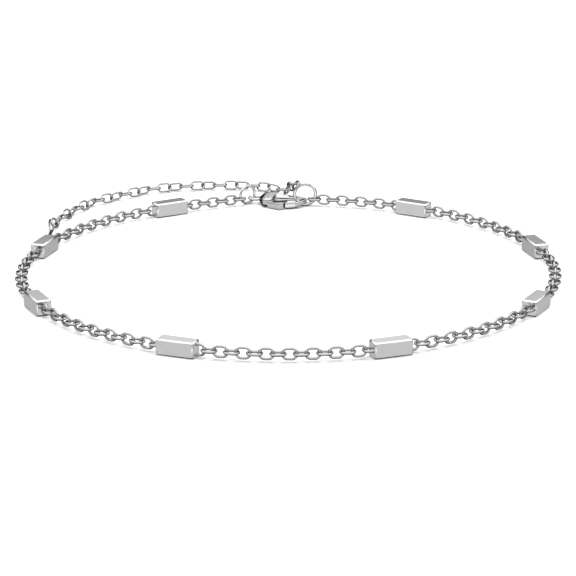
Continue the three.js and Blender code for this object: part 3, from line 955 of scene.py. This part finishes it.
# Brightness of the room by elevation in degrees: on the camera's side, at the far side, and
# at the two sides. The ramps hold shares of the brightest, because they end at 1
ROOM_BRIGHTEST = 1.6
ROOM_NEAR = [
    (-90, 0.02), (-60, 0.05), (-30, 0.75), (-12, 1.3), (5, 0.42), (24, 0.33), (31, 0.6), (40, 1.4),
    (90, 1.5),
]
ROOM_FAR = [
    (-90, 0.02), (-5, 0.05), (10, 0.1), (14.5, 0.2), (15.4, 0.32), (16.2, 0.42), (17.6, 0.72),
    (18.8, 1.2), (21, 1.3), (58, 1.3), (90, 1.5),
]
ROOM_SIDES = [
    (-90, 0.02), (-60, 0.05), (-30, 0.55), (-10, 0.75), (4, 0.3), (14, 0.3), (20, 1.2), (60, 1.5),
    (90, 1.5),
]

# How far a direction has to point sideways, or away, for the sides and the far side to begin
# and to be full
SIDES_REACH = (0.45, 0.62)
FAR_REACH = (0.62, 0.97)


def add_ramp(nodes, steps):
    """Colour ramp over elevation, from straight down to straight up"""
    ramp = nodes.new("ShaderNodeValToRGB")
    elements = ramp.color_ramp.elements
    while len(elements) < len(steps):
        elements.new(0.5)
    for element, (elevation, value) in zip(elements, steps):
        share = value / ROOM_BRIGHTEST
        element.position = (elevation + 90) / 180
        element.color = (share, share, share, 1.0)
    return ramp


def make_room(look):
    """Surrounding light: bright overhead, dim round the horizon and darkest on the far side"""
    world = bpy.data.worlds.new("studio")
    bpy.context.scene.world = world
    world.use_nodes = True
    nodes = world.node_tree.nodes
    links = world.node_tree.links
    place = nodes.new("ShaderNodeTexCoord")
    parts = nodes.new("ShaderNodeSeparateXYZ")
    links.new(place.outputs["Generated"], parts.inputs["Vector"])
    arc = nodes.new("ShaderNodeMath")
    arc.operation = "ARCSINE"
    links.new(parts.outputs["Z"], arc.inputs[0])
    elevation = nodes.new("ShaderNodeMapRange")
    elevation.inputs["From Min"].default_value = -math.pi / 2
    elevation.inputs["From Max"].default_value = math.pi / 2
    links.new(arc.outputs["Value"], elevation.inputs["Value"])
    reach = nodes.new("ShaderNodeMath")
    reach.operation = "ABSOLUTE"
    links.new(parts.outputs["X"], reach.inputs[0])
    near = add_ramp(nodes, ROOM_NEAR)
    links.new(elevation.outputs["Result"], near.inputs["Fac"])
    colour = near.outputs["Color"]
    for steps, across, (start, end) in (
            (ROOM_SIDES, reach.outputs["Value"], SIDES_REACH),
            (ROOM_FAR, parts.outputs["Y"], FAR_REACH)):
        ramp = add_ramp(nodes, steps)
        links.new(elevation.outputs["Result"], ramp.inputs["Fac"])
        share = nodes.new("ShaderNodeMapRange")
        share.interpolation_type = "SMOOTHSTEP"
        share.inputs["From Min"].default_value = start
        share.inputs["From Max"].default_value = end
        links.new(across, share.inputs["Value"])
        mix = nodes.new("ShaderNodeMix")
        mix.data_type = "RGBA"
        links.new(share.outputs["Result"], mix.inputs["Factor"])
        links.new(colour, mix.inputs["A"])
        links.new(ramp.outputs["Color"], mix.inputs["B"])
        colour = mix.outputs["Result"]
    links.new(colour, nodes["Background"].inputs["Color"])
    nodes["Background"].inputs["Strength"].default_value = look.sky * ROOM_BRIGHTEST


def make_lamp(look):
    """Soft lamp above, which no metal mirrors"""
    light = bpy.data.lights.new("soft lamp", "AREA")
    light.shape = "RECTANGLE"
    light.size, light.size_y = LAMP_SIZE
    light.energy = look.lamp_power
    lamp = bpy.data.objects.new("soft lamp", light)
    lamp.location = Vector(LAMP_PLACE)
    bpy.context.scene.collection.objects.link(lamp)
    lamp.rotation_mode = "QUATERNION"
    lamp.rotation_quaternion = (-lamp.location).to_track_quat("-Z", "Y")
    lamp.visible_glossy = False
    return lamp


def make_camera(look):
    """Camera as the photo was taken, looking down across the front"""
    camera_data = bpy.data.cameras.new("camera")
    camera_data.sensor_fit = "HORIZONTAL"
    camera_data.angle = look.field_of_view
    camera_data.clip_start = 0.01
    camera_data.clip_end = 20.0
    camera = bpy.data.objects.new("camera", camera_data)
    bpy.context.scene.collection.objects.link(camera)
    centre = Vector((CAMERA_CENTRE_X, bpy.context.scene.bracelet_layout.centre_y, 0.0))
    place = (Vector(look.camera_place) + centre) * MM
    aim = (Vector(look.camera_aim) + centre) * MM
    camera.location = place
    camera.rotation_mode = "QUATERNION"
    roll = Matrix.Rotation(look.camera_roll, 3, "Z").to_quaternion()
    camera.rotation_quaternion = (aim - place).to_track_quat("-Z", "Y") @ roll
    bpy.context.scene.camera = camera


class BRACELET_OT_stage(bpy.types.Operator):
    """Make the pale floor, the soft light and the camera"""

    bl_idname = "bracelet.stage"
    bl_label = "Stage"

    def execute(self, context):
        look = context.scene.stage_look
        floor = make_floor(look)
        make_room(look)
        lamp = make_lamp(look)
        make_camera(look)
        context.scene.view_settings.view_transform = "Standard"
        return {"FINISHED"}


class BRACELET_PT_panel(bpy.types.Panel):
    """Makes the bracelet's pieces one by one"""

    bl_idname = "BRACELET_PT_panel"
    bl_label = "Chain Bracelet"
    bl_space_type = "VIEW_3D"
    bl_region_type = "UI"
    bl_category = "Bracelet"

    def draw(self, context):
        for operator in OPERATORS:
            self.layout.operator(operator.bl_idname)
        for name, group in SETTINGS:
            box = self.layout.box()
            box.label(text=group.__doc__.split(",")[0])
            settings = getattr(context.scene, name)
            for prop in group.__annotations__:
                box.prop(settings, prop)


SETTINGS = (
    ("bracelet_layout", BraceletLayout),
    ("bar_sizes", BarSizes),
    ("link_sizes", LinkSizes),
    ("ring_sizes", RingSizes),
    ("clasp_sizes", ClaspSizes),
    ("extender_sizes", ExtenderSizes),
    ("silver_finish", SilverFinish),
    ("stage_look", StageLook),
)
OPERATORS = (
    BRACELET_OT_bars,
    BRACELET_OT_chains,
    BRACELET_OT_rings,
    BRACELET_OT_clasp,
    BRACELET_OT_extender,
    BRACELET_OT_stage,
)


def register():
    for name, group in SETTINGS:
        bpy.utils.register_class(group)
        setattr(bpy.types.Scene, name, bpy.props.PointerProperty(type=group))
    for operator in OPERATORS:
        bpy.utils.register_class(operator)
    bpy.utils.register_class(BRACELET_PT_panel)


def unregister():
    bpy.utils.unregister_class(BRACELET_PT_panel)
    for operator in reversed(OPERATORS):
        bpy.utils.unregister_class(operator)
    for name, group in reversed(SETTINGS):
        delattr(bpy.types.Scene, name)
        bpy.utils.unregister_class(group)


def main():
    register()
    bpy.ops.bracelet.bars()
    bpy.ops.bracelet.chains()
    bpy.ops.bracelet.rings()
    bpy.ops.bracelet.clasp()
    bpy.ops.bracelet.extender()
    bpy.ops.bracelet.stage()
    bpy.context.view_layer.update()


if __name__ == "__main__":
    main()
